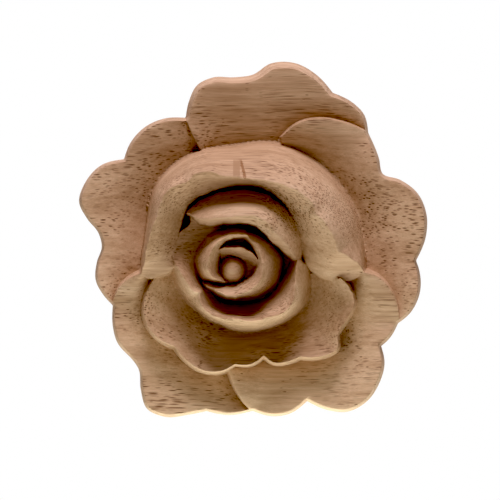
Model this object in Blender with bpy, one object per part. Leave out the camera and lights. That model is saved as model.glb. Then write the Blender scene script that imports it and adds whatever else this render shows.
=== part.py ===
"""An open rose carved in relief from one block of wood, with a flat back that is glued to a panel.

The flower stands upright in the XZ plane. Its back is the plane y = 0 and its carving faces -Y.
Every curve runs anticlockwise about the bud, as seen from the front. Its points are
(angle in degrees, distance from the bud's centre in mm, height above the back in mm).
A list of curves joins them end to end with a corner between each two.
"""
import math

import bpy
import numpy
from mathutils import Vector
from mathutils.geometry import delaunay_2d_cdt

MM = 0.001

# Corners of the outline, where one petal passes under the next
NOTCH_RIGHT = (341, 49.7, 8)
NOTCH_TOP_RIGHT = (45, 54.4, 8)
NOTCH_TOP_LEFT = (108, 45.0, 8)
NOTCH_LEFT = (197.5, 36.5, 8)
NOTCH_BOTTOM = (277.3, 41.6, 8)

# Tips of the hood, the great petal that folds over the bud
HOOD_LEFT_TIP = (184, 26.4, 14.5)
HOOD_RIGHT_TIP = (357.7, 36.9, 13.5)

# Outlines of the five outer petals
RIGHT_OUTLINE = [
    [NOTCH_RIGHT, (345.6, 52.3, 9), (352.8, 53.8, 10), (359, 53.1, 9.4), (2, 52.2, 8.6)],
    [(2, 52.2, 8.6), (8.8, 55.6, 10), (15.3, 57.2, 10.5), (21.9, 56.7, 10.5), (27.8, 53.7, 9.8),
     (32.2, 50.3, 9), (36.8, 51.9, 9.4), NOTCH_TOP_RIGHT],
]
TOP_OUTLINE = [
    [NOTCH_TOP_RIGHT, (49.7, 57.5, 8), (54.5, 58.1, 8.4), (60.5, 57.4, 8.8)],
    [(60.5, 57.4, 8.8), (66.6, 59.9, 9.6), (73.6, 61.0, 10.2), (79.8, 59.3, 10), (84.5, 55.4, 9.6),
     (90, 54.4, 9.6), (96.3, 54.7, 9.8), (101.5, 53.2, 9.6), (105.3, 49.2, 9), NOTCH_TOP_LEFT],
]
LEFT_OUTLINE = [
    [NOTCH_TOP_LEFT, (115, 47.0, 8.6), (122, 47.6, 9), (130.2, 46.3, 8.6), (135.6, 44.2, 7.8)],
    [(135.6, 44.2, 7.8), (142.8, 48.1, 9), (150.1, 49.1, 9.6), (157.3, 48.2, 9.6), (161.8, 44.4, 9),
     (166, 40.1, 8.6), (171.3, 38.4, 8.2), (178, 39.4, 8.4), (185.2, 39.9, 8.8), (192.9, 38.1, 8.6),
     NOTCH_LEFT],
]
LOWER_LEFT_OUTLINE = [
    [NOTCH_LEFT, (205.9, 38.7, 8.6), (213, 39.9, 8.8), (220.5, 39.5, 8.4)],
    [(220.5, 39.5, 8.4), (226.9, 40.1, 8.6), (232.7, 44.2, 9.2), (238.3, 47.7, 9.6), (245.5, 47.3, 9.4),
     (253, 44.3, 9), (259.2, 42.1, 8.4)],
    [(259.2, 42.1, 8.4), (268, 42.5, 8.6), NOTCH_BOTTOM],
]
LOWER_RIGHT_OUTLINE = [
    [NOTCH_BOTTOM, (284, 44.1, 9.2), (291, 45.0, 9.4), (298.5, 43.8, 8.8)],
    [(298.5, 43.8, 8.8), (303.2, 49.1, 9.6), (308.2, 52.8, 10.2), (314.8, 54.2, 10.5), (321.5, 53.3, 10.2),
     (327.6, 51.1, 9.8), (331.7, 47.9, 9)],
    [(331.7, 47.9, 9), (335.5, 49.1, 9.2), NOTCH_RIGHT],
]

# Free edges, where an outer petal lies over its neighbour
RIGHT_OVER_TOP = [NOTCH_TOP_RIGHT, (53.3, 51.6, 9.6), (59.8, 48.9, 10.2), (65.9, 44.9, 9.4), (70, 39.5, 6.5)]
TOP_OVER_LEFT = [NOTCH_TOP_LEFT, (107.4, 40.7, 7.4), (106, 35.4, 6)]
LOWER_LEFT_OVER_LEFT = [HOOD_LEFT_TIP, (186.5, 30.3, 12), (190.3, 33.4, 10.5), NOTCH_LEFT]
LOWER_RIGHT_OVER_LEFT = [(266.5, 28.5, 8.6), (269.8, 33.6, 9.4), (274.3, 38.9, 9.2), NOTCH_BOTTOM]
LOWER_RIGHT_OVER_RIGHT = [NOTCH_RIGHT, (345.8, 48.2, 10), (351.9, 44.9, 11.5), (356.6, 40.2, 13),
                          HOOD_RIGHT_TIP]

# Covered sides of the outer petals, under the hood, the collar and the neighbours
RIGHT_ROOT = [(340, 46.5, 5), (348, 42, 3.6), (354, 36, 2.6), (8, 35.4, 1.8), (26, 36.8, 1.6),
              (45, 37.2, 1.6), (62, 36.4, 2), (69, 36.2, 3)]
TOP_ROOT = [(45.4, 52.8, 3), (56, 46.5, 2), (64, 40.5, 1.6), (72, 35.2, 1.4), (90, 32.6, 1.4),
            (105.6, 32.6, 1.6)]
LEFT_ROOT = [(107.2, 43.5, 4.4), (104.5, 39, 2.8), (108, 33, 1.8), (126, 31, 1.4), (143, 27.8, 1.4),
             (157, 24.4, 1.4), (172, 23, 2), (184, 25, 3.4), (191, 30.5, 4), (197, 35.2, 5)]
LOWER_LEFT_ROOT = [(188, 23, 7), (200, 24, 3), (215, 25.6, 1.6), (235, 25.2, 1.2), (250, 26.4, 1),
                   (263, 26.4, 1), (271, 32, 1.8), (276.5, 39.3, 3.8)]
LOWER_RIGHT_ROOT = [(268, 26, 1.6), (280, 24, 1), (292, 24, 0.8), (305, 27, 0.8), (322, 32, 1),
                    (338, 31, 1.8), (350, 31, 4.6), (356.5, 34, 8)]

# Collar of two joined petals under the cup
COLLAR_EDGE = [
    [(187, 22.5, 12.5), (196.8, 26.0, 13.6), (206, 28.5, 14.2), (217, 29.7, 14.4), (226, 29.2, 14.2),
     (233.1, 28.1, 13.8)],
    [(233.1, 28.1, 13.8), (243, 29.7, 14), (254.5, 30.6, 14), (263, 29.7, 13.8), (270.5, 27.6, 13.4)],
    [(270.5, 27.6, 13.4), (280, 28.0, 13.4), (288.6, 26.5, 12.6)],
    [(288.6, 26.5, 12.6), (293, 29.5, 13.4), (300, 30.9, 14), (306.5, 31.6, 14)],
    [(306.5, 31.6, 14), (313.5, 35.1, 14.4), (322, 37.3, 14.4), (327, 35.1, 14.2), (336, 35.3, 14.6),
     (343.5, 35.6, 15), (350, 33.2, 15), (354, 30.5, 14.6)],
]
COLLAR_ROOT = [(184, 16.8, 7), (198, 15.4, 4), (218, 14.8, 2), (240, 14.4, 1.4), (265, 16, 1.4),
               (290, 17.4, 1.4), (312, 19.4, 1.4), (332, 21, 2), (346, 20.4, 3.6), (356, 19.6, 6.4)]

# Hood: its foot, its lip and the edge where the lip's inner face breaks into the hollow
HOOD_FOOT = [(357.7, 37.5, 6.5), (8, 38.1, 1.8), (22, 39, 0.8), (45, 39.3, 0.6), (66, 38.8, 0.8),
             (78, 37.4, 0.8), (90, 35.5, 0.6), (107, 35.4, 0.6), (120, 34.7, 0.4), (132.8, 33, 0.4),
             (143.4, 30.7, 0.4), (154, 28.1, 0.4), (163.8, 27, 0.8), (174, 26.8, 2), (184, 27.1, 6.5)]
HOOD_LIP = [
    [HOOD_RIGHT_TIP, (1.1, 35.5, 16.5), (4.6, 33.0, 19.5), (8.8, 29.8, 22.5)],
    [(8.8, 29.8, 22.5), (18, 29.4, 25), (25, 28.7, 26), (33, 27.5, 26.5)],
    [(33, 27.5, 26.5), (38, 28.4, 26.8), (46, 28.4, 27.2), (58.5, 27.1, 27.6), (70, 26.0, 27.8),
     (85, 25.4, 28), (96.3, 26.0, 28), (104, 27.8, 27.6), (112, 28.4, 27.2), (120, 27.4, 26.8)],
    [(120, 27.4, 26.8), (126, 28.3, 26.6), (132, 28.6, 26.2), (138.5, 27.5, 25.8), (145, 26.3, 25),
     (156, 25.6, 23.2), (168, 25.2, 20.8), (177, 25.4, 17.8), HOOD_LEFT_TIP],
]
HOOD_INNER = [
    [(356.8, 36.4, 12.6), (354, 33.8, 12), (352.1, 29.5, 11.6), (352.8, 26.0, 11.6), (356.5, 22.6, 12),
     (3, 20.5, 12.6), (12, 19.7, 13.4), (22, 20.1, 14.6), (38.8, 21.7, 16.4), (56.6, 23.4, 18),
     (76, 24.0, 19), (90, 23.3, 19), (105, 22.5, 18.4), (121.5, 22.0, 17.4), (134, 20.6, 16),
     (146, 18.6, 15.4), (160.6, 17.8, 15.2), (172, 17.2, 15.4), (180, 17.2, 15.8), (184.9, 18.7, 15.4)],
    [(184.9, 18.7, 15.4), (187, 22, 15), (187.6, 24.0, 14.6), (185.6, 25.8, 14)],
]

# Cup under the bud: its foot, its rim and the bottom of its inner face
CUP_FOOT = [(182, 18.2, 8), (195.6, 18.0, 4.8), (218, 17.2, 3), (234, 16.7, 2.4), (250, 16.9, 2.4),
            (269, 18.6, 2.4), (292, 20.1, 2.4), (315, 22.1, 2.4), (334, 23.5, 3), (347, 22.8, 4.6),
            (356, 21.6, 7.6), (2, 20.6, 12)]
CUP_RIM = [
    [(175, 17.0, 17.4), (180, 15.9, 19.2), (187, 14.9, 20.4), (196, 14.2, 20.9), (204, 13.8, 21),
     (212, 13.0, 20.8), (217, 11.8, 20.4)],
    [(217, 11.8, 20.4), (223, 13.2, 21.2), (231.5, 14.2, 22), (242, 14.8, 22.6), (257.6, 14.6, 23),
     (274.5, 14.8, 23.4), (290, 16.2, 23.8), (301, 16.7, 23.8)],
    [(301, 16.7, 23.8), (314, 18.5, 23.8), (326, 19.4, 23.2), (338, 18.4, 22.2), (350, 17.7, 20.8),
     (0, 17.5, 19.6), (6.5, 18.2, 18.5)],
]
CUP_LEFT_RIM = [(108, 14.2, 14.8), (121, 15.2, 14.6), (133, 16.8, 14.4), (139, 17.2, 14.6), (146, 18.2, 15),
                (160, 18.4, 15.4), (170, 17.8, 16), (175, 17.0, 17.4)]
CUP_INSIDE = [(106, 11, 12.6), (120, 11, 12.6), (134, 11, 12.6), (150, 11.2, 12.6), (165, 11, 12.6),
              (185, 10.8, 12.6), (205, 10.2, 12.4), (222, 9.8, 12), (235, 10.0, 12), (250, 10.2, 12),
              (270, 10.4, 12), (293, 11.4, 12), (312, 12.6, 12), (328, 13.6, 12), (344, 14.4, 12),
              (356, 15.6, 12.4), (5, 17.0, 14)]

# Petal between the bud and the hood
BROW_FOOT = [(7, 18.4, 16), (14, 18.7, 15.4), (26, 19.4, 15.6), (42, 20.4, 16), (58, 21.4, 16),
             (74, 22, 16), (90, 21.8, 15.6), (106, 21.4, 15.4), (118, 21, 15.8), (124, 20.9, 16.6),
             (128.8, 20.6, 18)]
BROW_RIM = [(7.4, 18.0, 18), (13, 16.9, 20.5), (24, 16.2, 22.6), (33, 15.5, 23.8), (41, 15.0, 24.6),
            (51, 15.6, 25.4), (62, 15.7, 25.8), (76, 15.1, 25.8), (90, 14.25, 25.6), (106, 14.6, 25),
            (117, 15.3, 24.2), (124.5, 16.6, 23), (128.6, 18.4, 21.6), (130.2, 20.2, 19.6)]
BROW_INNER = [(6.5, 17.4, 17), (13, 15.6, 18.6), (22.4, 14.2, 20.4), (32.5, 13.3, 21.8), (43.5, 13.0, 22.6),
              (55, 13.2, 23), (68, 13.3, 23), (80, 12.9, 22.8), (92, 12.6, 22.6), (103, 12.7, 22.2),
              (114, 13.2, 21.6), (122, 14.2, 20.8), (127.4, 15.8, 19.8), (129, 18.2, 18.8),
              (130.4, 19.4, 18.4)]

# Bud: a left and a right petal that wrap each other, a small inner one, and the button
BUD_RIGHT_FOOT = [(208, 9.9, 17), (222, 9.4, 13), (240, 9.1, 12), (260, 8.9, 12), (286, 9.3, 12),
                  (300, 10.2, 12), (315, 11.2, 12), (330, 12.2, 12), (346, 12.8, 12.4), (2, 12.9, 12.6),
                  (19, 12.6, 13), (38, 11.6, 14), (54, 10.8, 16), (68, 10.2, 20)]
BUD_RIGHT_RIM = [(213, 9.3, 20), (222.6, 8.6, 21.6), (240.6, 8.15, 22.8), (258, 8.1, 23.6), (272, 8.05, 24),
                 (288, 7.8, 24.4), (305, 7.85, 24.8), (322, 8.0, 25), (340, 8.2, 25), (356, 8.1, 25),
                 (12, 8.0, 25), (28, 8.4, 24.8), (42, 8.7, 24.4), (55, 9.0, 23.8), (67, 9.6, 22.6)]
BUD_RIGHT_INNER = [(216, 8.2, 18.6), (236, 6.4, 18.4), (254, 5.2, 18.4), (276, 4.9, 18.6), (301, 5.0, 18.8),
                   (325, 5.4, 19.4), (344, 6.0, 20.6), (359, 6.6, 22), (18, 7.1, 22.8), (34, 7.4, 23),
                   (50, 8.0, 22.6), (66, 8.8, 21.6)]
BUD_LEFT_FOOT = [(60, 10.0, 21), (75, 10.5, 19.6), (90, 10.7, 18.4), (105, 10.5, 17.8), (122, 10.5, 17.4),
                 (138, 10.6, 17), (150, 10.7, 17), (164, 10.7, 16.8), (177, 10.4, 16.4), (190, 9.9, 16),
                 (202, 9.0, 16), (216, 7.4, 16.6), (239, 5.3, 18.6)]
BUD_LEFT_RIM = [(61, 9.7, 22.6), (75, 9.6, 24.2), (90, 9.2, 25), (105, 8.8, 25.6), (122, 8.3, 25.8),
                (140, 7.9, 26), (160, 7.7, 26), (178, 7.5, 25.6), (196, 6.9, 24.6), (214, 5.9, 22.8),
                (238, 5.0, 20.2)]
BUD_LEFT_INNER = [(62, 9.3, 22), (75, 9.0, 23), (90, 8.6, 23.2), (101, 8.3, 22.6), (112, 7.8, 21.8),
                  (126, 6.6, 20.6), (144, 5.4, 19.8), (167, 4.8, 19.4), (186, 4.6, 19.2), (210, 4.4, 19),
                  (237, 4.5, 18.8)]
INNER_FOOT = [(8, 7.6, 21), (22, 7.3, 19.6), (36, 7.1, 18.6), (50, 6.8, 18), (70, 6.5, 18), (90, 6.4, 18),
              (112, 6.6, 18.4), (130, 6.8, 19.6)]
INNER_RIM = [(8, 7.2, 22.4), (22, 6.9, 23.2), (37, 6.4, 23.7), (50, 6.0, 23.9), (63, 5.8, 23.8),
             (89, 5.5, 23.3), (105, 5.7, 22.6), (117, 6.0, 21.9), (131, 6.3, 21)]
INNER_INSIDE = [(6, 5.8, 19.6), (22, 4.6, 19.2), (40, 3.8, 19), (60, 3.3, 19), (90, 3.1, 19),
                (112, 3.7, 19), (132, 5.2, 19.4)]
BUTTON_CENTRE = (243, 0.8)
BUTTON_RADIUS = 3.7
BUTTON_FOOT = 17.6
BUTTON_TOP = 22.6

# Floors of the hollows around the bud, as (angle, distance) outlines at one height
PIT_OUTLINE = [(0, 19), (45, 20.5), (90, 23), (135, 19.5), (180, 16.5), (225, 13), (270, 13.5), (315, 16.5)]
PIT_FLOOR = 8.5
BUD_OUTLINE = [(0, 8), (45, 8.6), (90, 9.4), (135, 8), (180, 7), (212, 6.4), (228, 4.6), (245, 6.5),
               (270, 7.6), (315, 7.6)]
BUD_FLOOR = 16.5

# How a surface swells from its outer curve, u = 0, to its inner one, u = 1: (1 - (1 - c u)^a)^b,
# stretched to end at 1. Where c is below 1 the surface still rises at its inner edge.
DISH = (1, 1.6, 1)
DIVE = (1, 1.8, 1)
BOWL = (1.1, 1, 1)
LIP = (1, 1, 1)
SHOULDER = (1, 1.2, 1)
DOMED = (2.7, 1, 0.78)
ROLLED = (1.7, 1, 0.86)
ARCHED = (2.7, 1, 0.72)
SLOPED = (1.25, 1, 1)

WALL_SLOPE = 7  # steepness of the cut beside a free edge
STEEP_WALL_SLOPE = 14
TOP_BEVEL_SLOPE = 4.6  # steepness of the outline's wall at the top, which is cut back the most
SIDE_BEVEL_SLOPE = 9.5
TOP_BEVEL_ANGLE = 82
TOP_BEVEL_SPREAD = 34

CURVE_STEP = 0.5
EDGE_STEP = 1.6
BUD_EDGE_STEP = 0.9
BUD_REACH = 22
FILL_RINGS = ((0, 13, 1.2), (13, 24, 1.6), (24, 40, 2.1), (40, 64, 2.7))  # from, to and spacing
BUTTON_RINGS = ((0.99, 20), (0.8, 12), (0.45, 6))  # share of the radius and number of points
HOOD_ROWS = (0.28, 0.55)
CUP_ROWS = (0.3, 0.6)
BROW_ROWS = (0.5,)
LEAST_RISE = 0.15  # how far a band stands over its neighbours where its foot line is laid
MERGE = 0.35
LEAST_STEP_HEIGHT = 0.5
LEAST_WALL_WIDTH = 0.5
HIDDEN_DEPTH = 1.2
STEEPEST_FILL = 3.2

WOOD_COLOUR = (0.56, 0.36, 0.23, 1)
WOOD_ROUGHNESS = 0.72
SHARP_ANGLE = 32


def on_plane(point):
    """Turn (angle, distance, height) into (x, z, height)."""
    angle = math.radians(point[0])
    return [point[1] * math.cos(angle), point[1] * math.sin(angle)] + list(point[2:])


def smooth_run(points, step):
    """Sample a smooth curve through the points, about one sample a step."""
    knots = numpy.array([on_plane(point) for point in points], dtype=float)
    gaps = numpy.linalg.norm(numpy.diff(knots[:, :2], axis=0), axis=1)
    slopes = numpy.diff(knots, axis=0) / gaps[:, None]
    tangents = numpy.vstack([slopes[:1], slopes[-1:]]) if len(knots) == 2 else None
    if tangents is None:
        before, after = gaps[:-1, None], gaps[1:, None]
        middle = (slopes[:-1] * after + slopes[1:] * before) / (before + after)
        first = 1.5 * slopes[0] - 0.5 * middle[0]
        last = 1.5 * slopes[-1] - 0.5 * middle[-1]
        tangents = numpy.vstack([first, middle, last])
    samples = [knots[:1]]
    for start in range(len(knots) - 1):
        count = max(1, round(gaps[start] / step))
        t = (numpy.arange(count) + 1)[:, None] / count
        rise = gaps[start]
        samples.append(
            (2 * t**3 - 3 * t**2 + 1) * knots[start]
            + (t**3 - 2 * t**2 + t) * rise * tangents[start]
            + (3 * t**2 - 2 * t**3) * knots[start + 1]
            + (t**3 - t**2) * rise * tangents[start + 1]
        )
    return numpy.vstack(samples)


def join_runs(runs, step):
    """Sample a curve made of one smooth run, or of several that meet in corners."""
    if not isinstance(runs[0], list):
        runs = [runs]
    curves = [smooth_run(run, step) for run in runs]
    return numpy.vstack([curves[0]] + [curve[1:] for curve in curves[1:]])


def lengths_along(curve):
    """Length of curve that each of its samples stands for."""
    gaps = numpy.linalg.norm(numpy.diff(curve[:, :2], axis=0), axis=1)
    return (numpy.append(gaps, gaps[-1]) + numpy.insert(gaps, 0, gaps[0])) / 2


def reach_and_height(points, curve):
    """Smooth distance from each point to a curve, and the curve's height near it."""
    softness = 0.6 * CURVE_STEP
    squares = ((points[:, None, :] - curve[None, :, :2]) ** 2).sum(axis=2) + softness**2
    weights = lengths_along(curve) / squares**2
    total = weights.sum(axis=1)
    reach = (total * 2 / math.pi) ** (-2 / 3) - softness**2
    return numpy.sqrt(numpy.maximum(reach, 0)), (weights * curve[:, 2]).sum(axis=1) / total


def inside(points, ring):
    """Say which points lie within a closed ring of samples."""
    x, z = points[:, 0][:, None], points[:, 1][:, None]
    x0, z0 = ring[:, 0], ring[:, 1]
    x1, z1 = numpy.roll(x0, -1), numpy.roll(z0, -1)
    crosses = (z0 > z) != (z1 > z)
    run = numpy.where(z1 == z0, 1, z1 - z0)
    return (crosses & (x < x0 + (z - z0) * (x1 - x0) / run)).sum(axis=1) % 2 == 1


def distance_to(points, ring):
    """Shortest distance from each point to a closed ring."""
    start = ring[:, :2]
    along = numpy.roll(start, -1, axis=0) - start
    size = numpy.maximum((along**2).sum(axis=1), 1e-12)
    offset = points[:, None, :] - start[None]
    t = numpy.clip((offset * along).sum(axis=2) / size, 0, 1)
    return numpy.sqrt(((offset - t[:, :, None] * along) ** 2).sum(axis=2).min(axis=1))


def make_band(outer, inner, swell, wall=WALL_SLOPE, rows=()):
    """Describe the surface that runs from an outer curve to an inner one.

    The wall is the steepness of the cut round it, and the rows say how far across
    the band lie the lines that its triangles follow.
    """
    outer, inner = join_runs(outer, CURVE_STEP), join_runs(inner, CURVE_STEP)
    ring = numpy.vstack([outer, inner[::-1]])
    return {"outer": outer, "inner": inner, "ring": ring, "swell": swell, "wall": wall, "rows": rows}


def band_height(band, points):
    """Height of one band over the points, with a steep wall all round it."""
    height = numpy.full(len(points), -100.0)
    margin = 3.5
    low = band["ring"][:, :2].min(axis=0) - margin
    high = band["ring"][:, :2].max(axis=0) + margin
    near = numpy.flatnonzero(((points > low) & (points < high)).all(axis=1))
    if len(near) == 0:
        return height
    close = points[near]
    outer_reach, outer_height = reach_and_height(close, band["outer"])
    inner_reach, inner_height = reach_and_height(close, band["inner"])
    u = outer_reach / (outer_reach + inner_reach + 1e-9)
    a, b, c = band["swell"]
    share = ((1 - (1 - c * u) ** a) / (1 - (1 - c) ** a)) ** b
    surface = outer_height + (inner_height - outer_height) * share
    outside = numpy.where(inside(close, band["ring"]), 0, distance_to(close, band["ring"]))
    height[near] = surface - band["wall"] * outside
    return height


def disc_height(points, outline, level):
    """Height of a flat floor with a steep wall round it."""
    ring = smooth_run(outline + outline[:1], 1)
    outside = numpy.where(inside(points, ring), 0, distance_to(points, ring))
    return level - WALL_SLOPE * outside


def button_height(points):
    """Height of the round button in the middle of the bud."""
    away = numpy.linalg.norm(points - numpy.array(on_plane(BUTTON_CENTRE)), axis=1) / BUTTON_RADIUS
    dome = numpy.maximum(1 - away**2, 0)
    return numpy.where(away < 1, BUTTON_FOOT + (BUTTON_TOP - BUTTON_FOOT) * dome, -100)


def make_bands():
    """All the petals, from the outermost to the heart."""
    return [
        make_band(RIGHT_OUTLINE + [RIGHT_OVER_TOP], RIGHT_ROOT, DISH),
        make_band(TOP_OUTLINE + [TOP_OVER_LEFT], TOP_ROOT, DISH),
        make_band(LEFT_OUTLINE, LEFT_ROOT, DISH),
        make_band([LOWER_LEFT_OVER_LEFT] + LOWER_LEFT_OUTLINE, LOWER_LEFT_ROOT, DIVE),
        make_band([LOWER_RIGHT_OVER_LEFT] + LOWER_RIGHT_OUTLINE + [LOWER_RIGHT_OVER_RIGHT],
                  LOWER_RIGHT_ROOT, DIVE),
        make_band(COLLAR_EDGE, COLLAR_ROOT, BOWL),
        make_band(HOOD_FOOT, HOOD_LIP, DOMED, STEEP_WALL_SLOPE, HOOD_ROWS),
        make_band(HOOD_LIP, HOOD_INNER, LIP, STEEP_WALL_SLOPE),
        make_band(CUP_FOOT, CUP_RIM, ROLLED, WALL_SLOPE, CUP_ROWS),
        make_band([CUP_LEFT_RIM] + CUP_RIM, CUP_INSIDE, SHOULDER),
        make_band(BROW_FOOT, BROW_RIM, ARCHED, STEEP_WALL_SLOPE, BROW_ROWS),
        make_band(BROW_RIM, BROW_INNER, LIP, STEEP_WALL_SLOPE),
        make_band(BUD_RIGHT_FOOT, BUD_RIGHT_RIM, SLOPED),
        make_band(BUD_RIGHT_RIM, BUD_RIGHT_INNER, SHOULDER),
        make_band(BUD_LEFT_FOOT, BUD_LEFT_RIM, SLOPED),
        make_band(BUD_LEFT_RIM, BUD_LEFT_INNER, SHOULDER),
        make_band(INNER_FOOT, INNER_RIM, SLOPED),
        make_band(INNER_RIM, INNER_INSIDE, SLOPED),
    ]


def make_outline(step):
    """The whole flower's outline, anticlockwise from the right-hand notch."""
    runs = RIGHT_OUTLINE + TOP_OUTLINE + LEFT_OUTLINE + LOWER_LEFT_OUTLINE + LOWER_RIGHT_OUTLINE
    return join_runs(runs, step)[:-1]


def bevel_slope(points):
    """Steepness of the outline's wall, which leans back the most at the top."""
    angle = numpy.degrees(numpy.arctan2(points[:, 1], points[:, 0]))
    lean = numpy.exp(-(((angle - TOP_BEVEL_ANGLE) / TOP_BEVEL_SPREAD) ** 2))
    return SIDE_BEVEL_SLOPE + (TOP_BEVEL_SLOPE - SIDE_BEVEL_SLOPE) * lean


def carved_height(points, bands):
    """Height of the carving before its outer wall is cut."""
    height = numpy.maximum(disc_height(points, PIT_OUTLINE, PIT_FLOOR), button_height(points))
    height = numpy.maximum(height, disc_height(points, BUD_OUTLINE, BUD_FLOOR))
    for band in bands:
        height = numpy.maximum(height, band_height(band, points))
    return height


def rose_height(points, bands, outline):
    """Height of the finished carving over its flat back."""
    wall = distance_to(points, outline) * bevel_slope(points)
    return numpy.maximum(numpy.minimum(carved_height(points, bands), wall), 0)


def outward_normals(curve, ring):
    """Directions in the plane that point away from a band across one of its curves."""
    along = numpy.gradient(curve[:, :2], axis=0)
    normals = numpy.column_stack([along[:, 1], -along[:, 0]])
    normals /= numpy.linalg.norm(normals, axis=1)[:, None]
    wrong = inside(curve[:, :2] + 0.2 * normals, ring)
    normals[wrong] *= -1
    return normals


def thin_out(curve, step):
    """Samples of a curve at least a step apart, with both ends kept."""
    picked, travelled = [0], 0.0
    for index in range(1, len(curve)):
        travelled += math.dist(curve[index, :2], curve[index - 1, :2])
        wanted = BUD_EDGE_STEP if math.hypot(curve[index, 0], curve[index, 1]) < BUD_REACH else step
        if travelled >= wanted:
            picked.append(index)
            travelled = 0.0
    if picked[-1] != len(curve) - 1:
        picked[-1 if len(picked) > 1 and travelled < step / 2 else len(picked):] = [len(curve) - 1]
    return picked


class Seeds:
    """Points and lines that the surface's triangles are laid along."""

    def __init__(self):
        self.points = []
        self.lines = set()

    def add(self, point):
        """Add a point, or find the one that is already there."""
        if self.points:
            gaps = numpy.linalg.norm(numpy.array(self.points) - point, axis=1)
            nearest = int(gaps.argmin())
            if gaps[nearest] < MERGE:
                return nearest
        self.points.append((float(point[0]), float(point[1])))
        return len(self.points) - 1

    def add_line(self, points, keep):
        """Add a line through the points that are kept."""
        last = None
        for point, kept in zip(points, keep):
            here = self.add(point) if kept else None
            if last is not None and here is not None and last != here:
                self.lines.add((min(last, here), max(last, here)))
            last = here


def seed_outline(seeds, outline):
    """Seed the outline and the front edge of its wall."""
    picked = thin_out(outline, EDGE_STEP)
    rim = outline[picked]
    seeds.add_line(list(rim[:, :2]) + [rim[0, :2]], [True] * (len(rim) + 1))
    along = numpy.roll(outline[:, :2], -1, axis=0) - numpy.roll(outline[:, :2], 1, axis=0)
    inward = numpy.column_stack([-along[:, 1], along[:, 0]])[picked]
    inward /= numpy.linalg.norm(inward, axis=1)[:, None]
    front = rim[:, :2] + inward * (rim[:, 2] / bevel_slope(rim[:, :2]))[:, None]
    depth = distance_to(front, outline)
    keep = list(depth > 0.8 * rim[:, 2] / bevel_slope(front))
    seeds.add_line(list(front) + [front[0]], keep + keep[:1])


def seed_band(seeds, band, bands, outline):
    """Seed the band's edges where they show, and the foot of the wall beside them."""
    for name in ("outer", "inner"):
        curve = band[name]
        normals = outward_normals(curve, band["ring"])
        picked = thin_out(curve, EDGE_STEP)
        points, heights, normals = curve[picked, :2], curve[picked, 2], normals[picked]
        shows = rose_height(points, bands, outline) < heights + HIDDEN_DEPTH
        shows &= distance_to(points, outline) > 1.0
        others = [other for other in bands if other is not band]
        away = numpy.full(len(points), 0.3)
        for _ in range(4):
            beside = carved_height(points + away[:, None] * normals, others)
            away = numpy.clip((heights - beside) / band["wall"], 0, 3)
        foot = points + numpy.maximum(away, LEAST_WALL_WIDTH)[:, None] * normals
        beside = carved_height(foot, bands)
        stepped = shows & (heights - beside > LEAST_STEP_HEIGHT)
        stepped &= heights - band["wall"] * away < beside + LEAST_STEP_HEIGHT
        seeds.add_line(points, shows)
        stepped &= distance_to(foot, outline) > 1.0
        seeds.add_line(foot, stepped)
    if band["rows"]:
        seed_rows(seeds, band, bands)


def seed_rows(seeds, band, bands):
    """Seed the line where the band rises out of its neighbours, and lines across it."""
    start = band["outer"][thin_out(band["outer"], EDGE_STEP), :2]
    gaps = ((start[:, None] - band["inner"][None, :, :2]) ** 2).sum(axis=2)
    end = band["inner"][gaps.argmin(axis=1), :2]
    others = [other for other in bands if other is not band]
    shares = numpy.ones(len(start))
    for share in numpy.linspace(0.6, 0, 31):
        points = start + share * (end - start)
        above = band_height(band, points) > carved_height(points, others) + LEAST_RISE
        shares = numpy.where(above & (shares >= share), share, shares)
    shows = shares < 1
    seeds.add_line(start + shares[:, None] * (end - start), shows)
    for share in band["rows"]:
        row = start + share * (end - start)
        seeds.add_line(row, shows & (share > shares + 0.08))


def seed_button(seeds):
    """Seed rings round the button."""
    middle = on_plane(BUTTON_CENTRE)
    for share, count in BUTTON_RINGS:
        ring = [(360 * number / count, share * BUTTON_RADIUS) for number in range(count + 1)]
        points = numpy.array([on_plane(point) for point in ring]) + middle
        seeds.add_line(points, [True] * len(points))


def steepness(points, bands):
    """Slope of the carving at each point."""
    reach = 0.15
    across, up = numpy.array((reach, 0)), numpy.array((0, reach))
    run = carved_height(points + across, bands) - carved_height(points - across, bands)
    rise = carved_height(points + up, bands) - carved_height(points - up, bands)
    return numpy.hypot(run, rise) / (2 * reach)


def seed_fill(seeds, bands, outline):
    """Fill the rest with evenly spaced points, closer together near the heart, but not on the cuts."""
    taken = numpy.array(seeds.points)
    golden = math.pi * (3 - math.sqrt(5))
    filled = []
    for start, end, step in FILL_RINGS:
        pitch = step * 0.93
        first, last = (start / pitch) ** 2 * math.pi, (end / pitch) ** 2 * math.pi
        for number in range(int(first), int(last)):
            radius = pitch * math.sqrt(number / math.pi)
            point = (radius * math.cos(number * golden), radius * math.sin(number * golden))
            filled.append((point, step))
    points = numpy.array([point for point, _ in filled])
    steps = numpy.array([step for _, step in filled])
    keep = inside(points, outline) & (distance_to(points, outline) > 1.6)
    gaps = numpy.sqrt(((points[:, None] - taken[None]) ** 2).sum(axis=2)).min(axis=1)
    keep &= gaps > 0.62 * steps
    keep &= steepness(points, bands) < STEEPEST_FILL
    seeds.points.extend((float(x), float(z)) for x, z in points[keep])


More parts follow.
